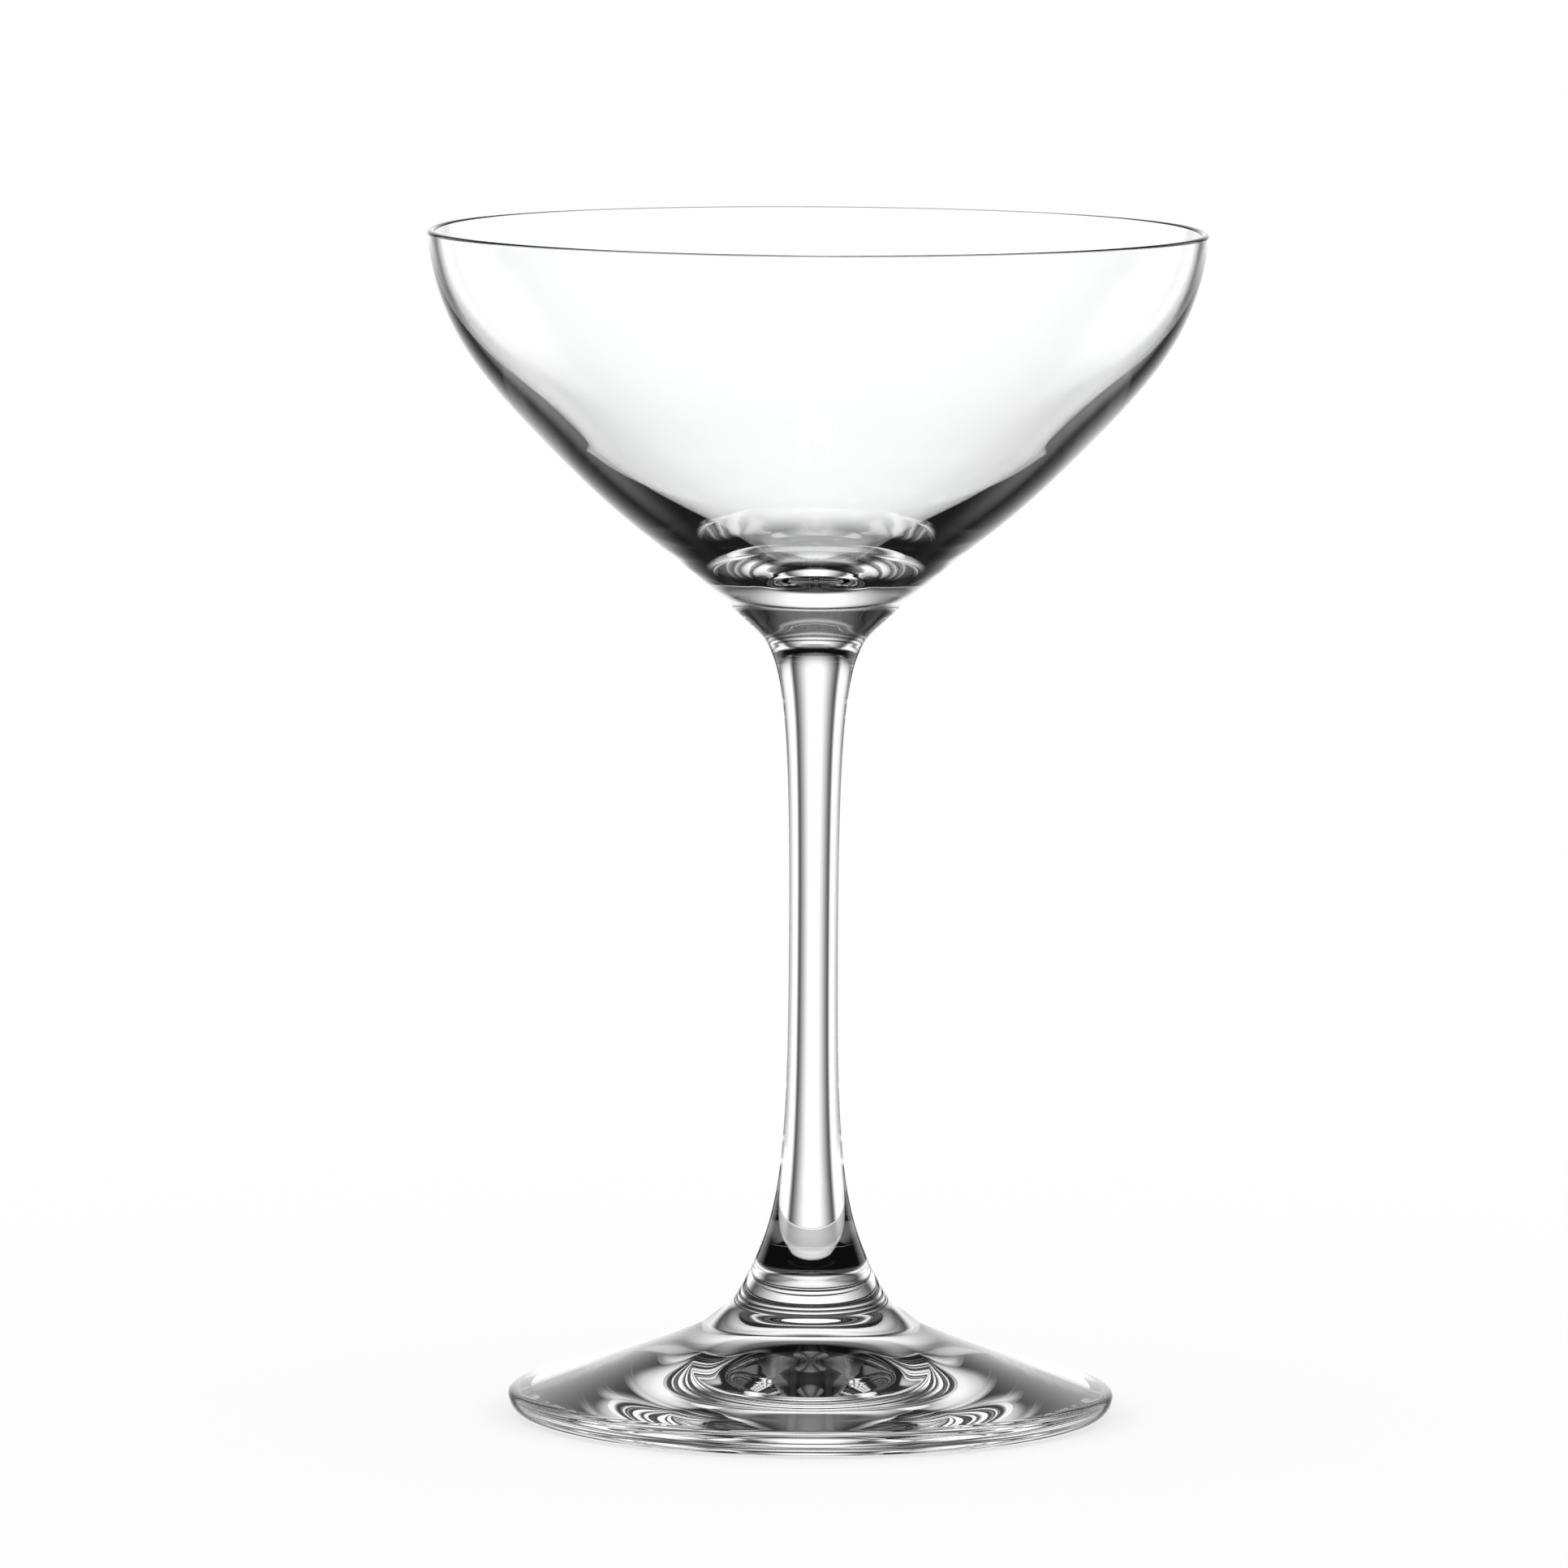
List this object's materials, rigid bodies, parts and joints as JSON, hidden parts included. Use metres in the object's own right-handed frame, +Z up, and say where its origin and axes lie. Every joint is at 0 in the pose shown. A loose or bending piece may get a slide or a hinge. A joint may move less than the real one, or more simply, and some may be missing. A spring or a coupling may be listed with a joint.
{
  "type": "cocktail coupe",
  "caption": "Clear stemmed cocktail coupe: wide shallow blown bowl with a conical lower wall and solid base, on a slim waisted stem and a sloping round foot.",
  "frame": {"origin": "middle of the resting plane under the foot", "axes": "+Z up along the axis of the glass, from the foot to the rim; the glass is turned, so X and Y are alike"},
  "size_m": [0.1048, 0.1048, 0.16],
  "materials": {
    "bowl_glass": "clear, blown, fire-polished",
    "stem_glass": "clear, drawn, fire-polished",
    "foot_glass": "clear, pressed, fire-polished"
  },
  "bodies": {
    "root": {"bowl": "bowl_glass", "stem": "stem_glass", "foot": "foot_glass"}
  },
  "joints": []
}
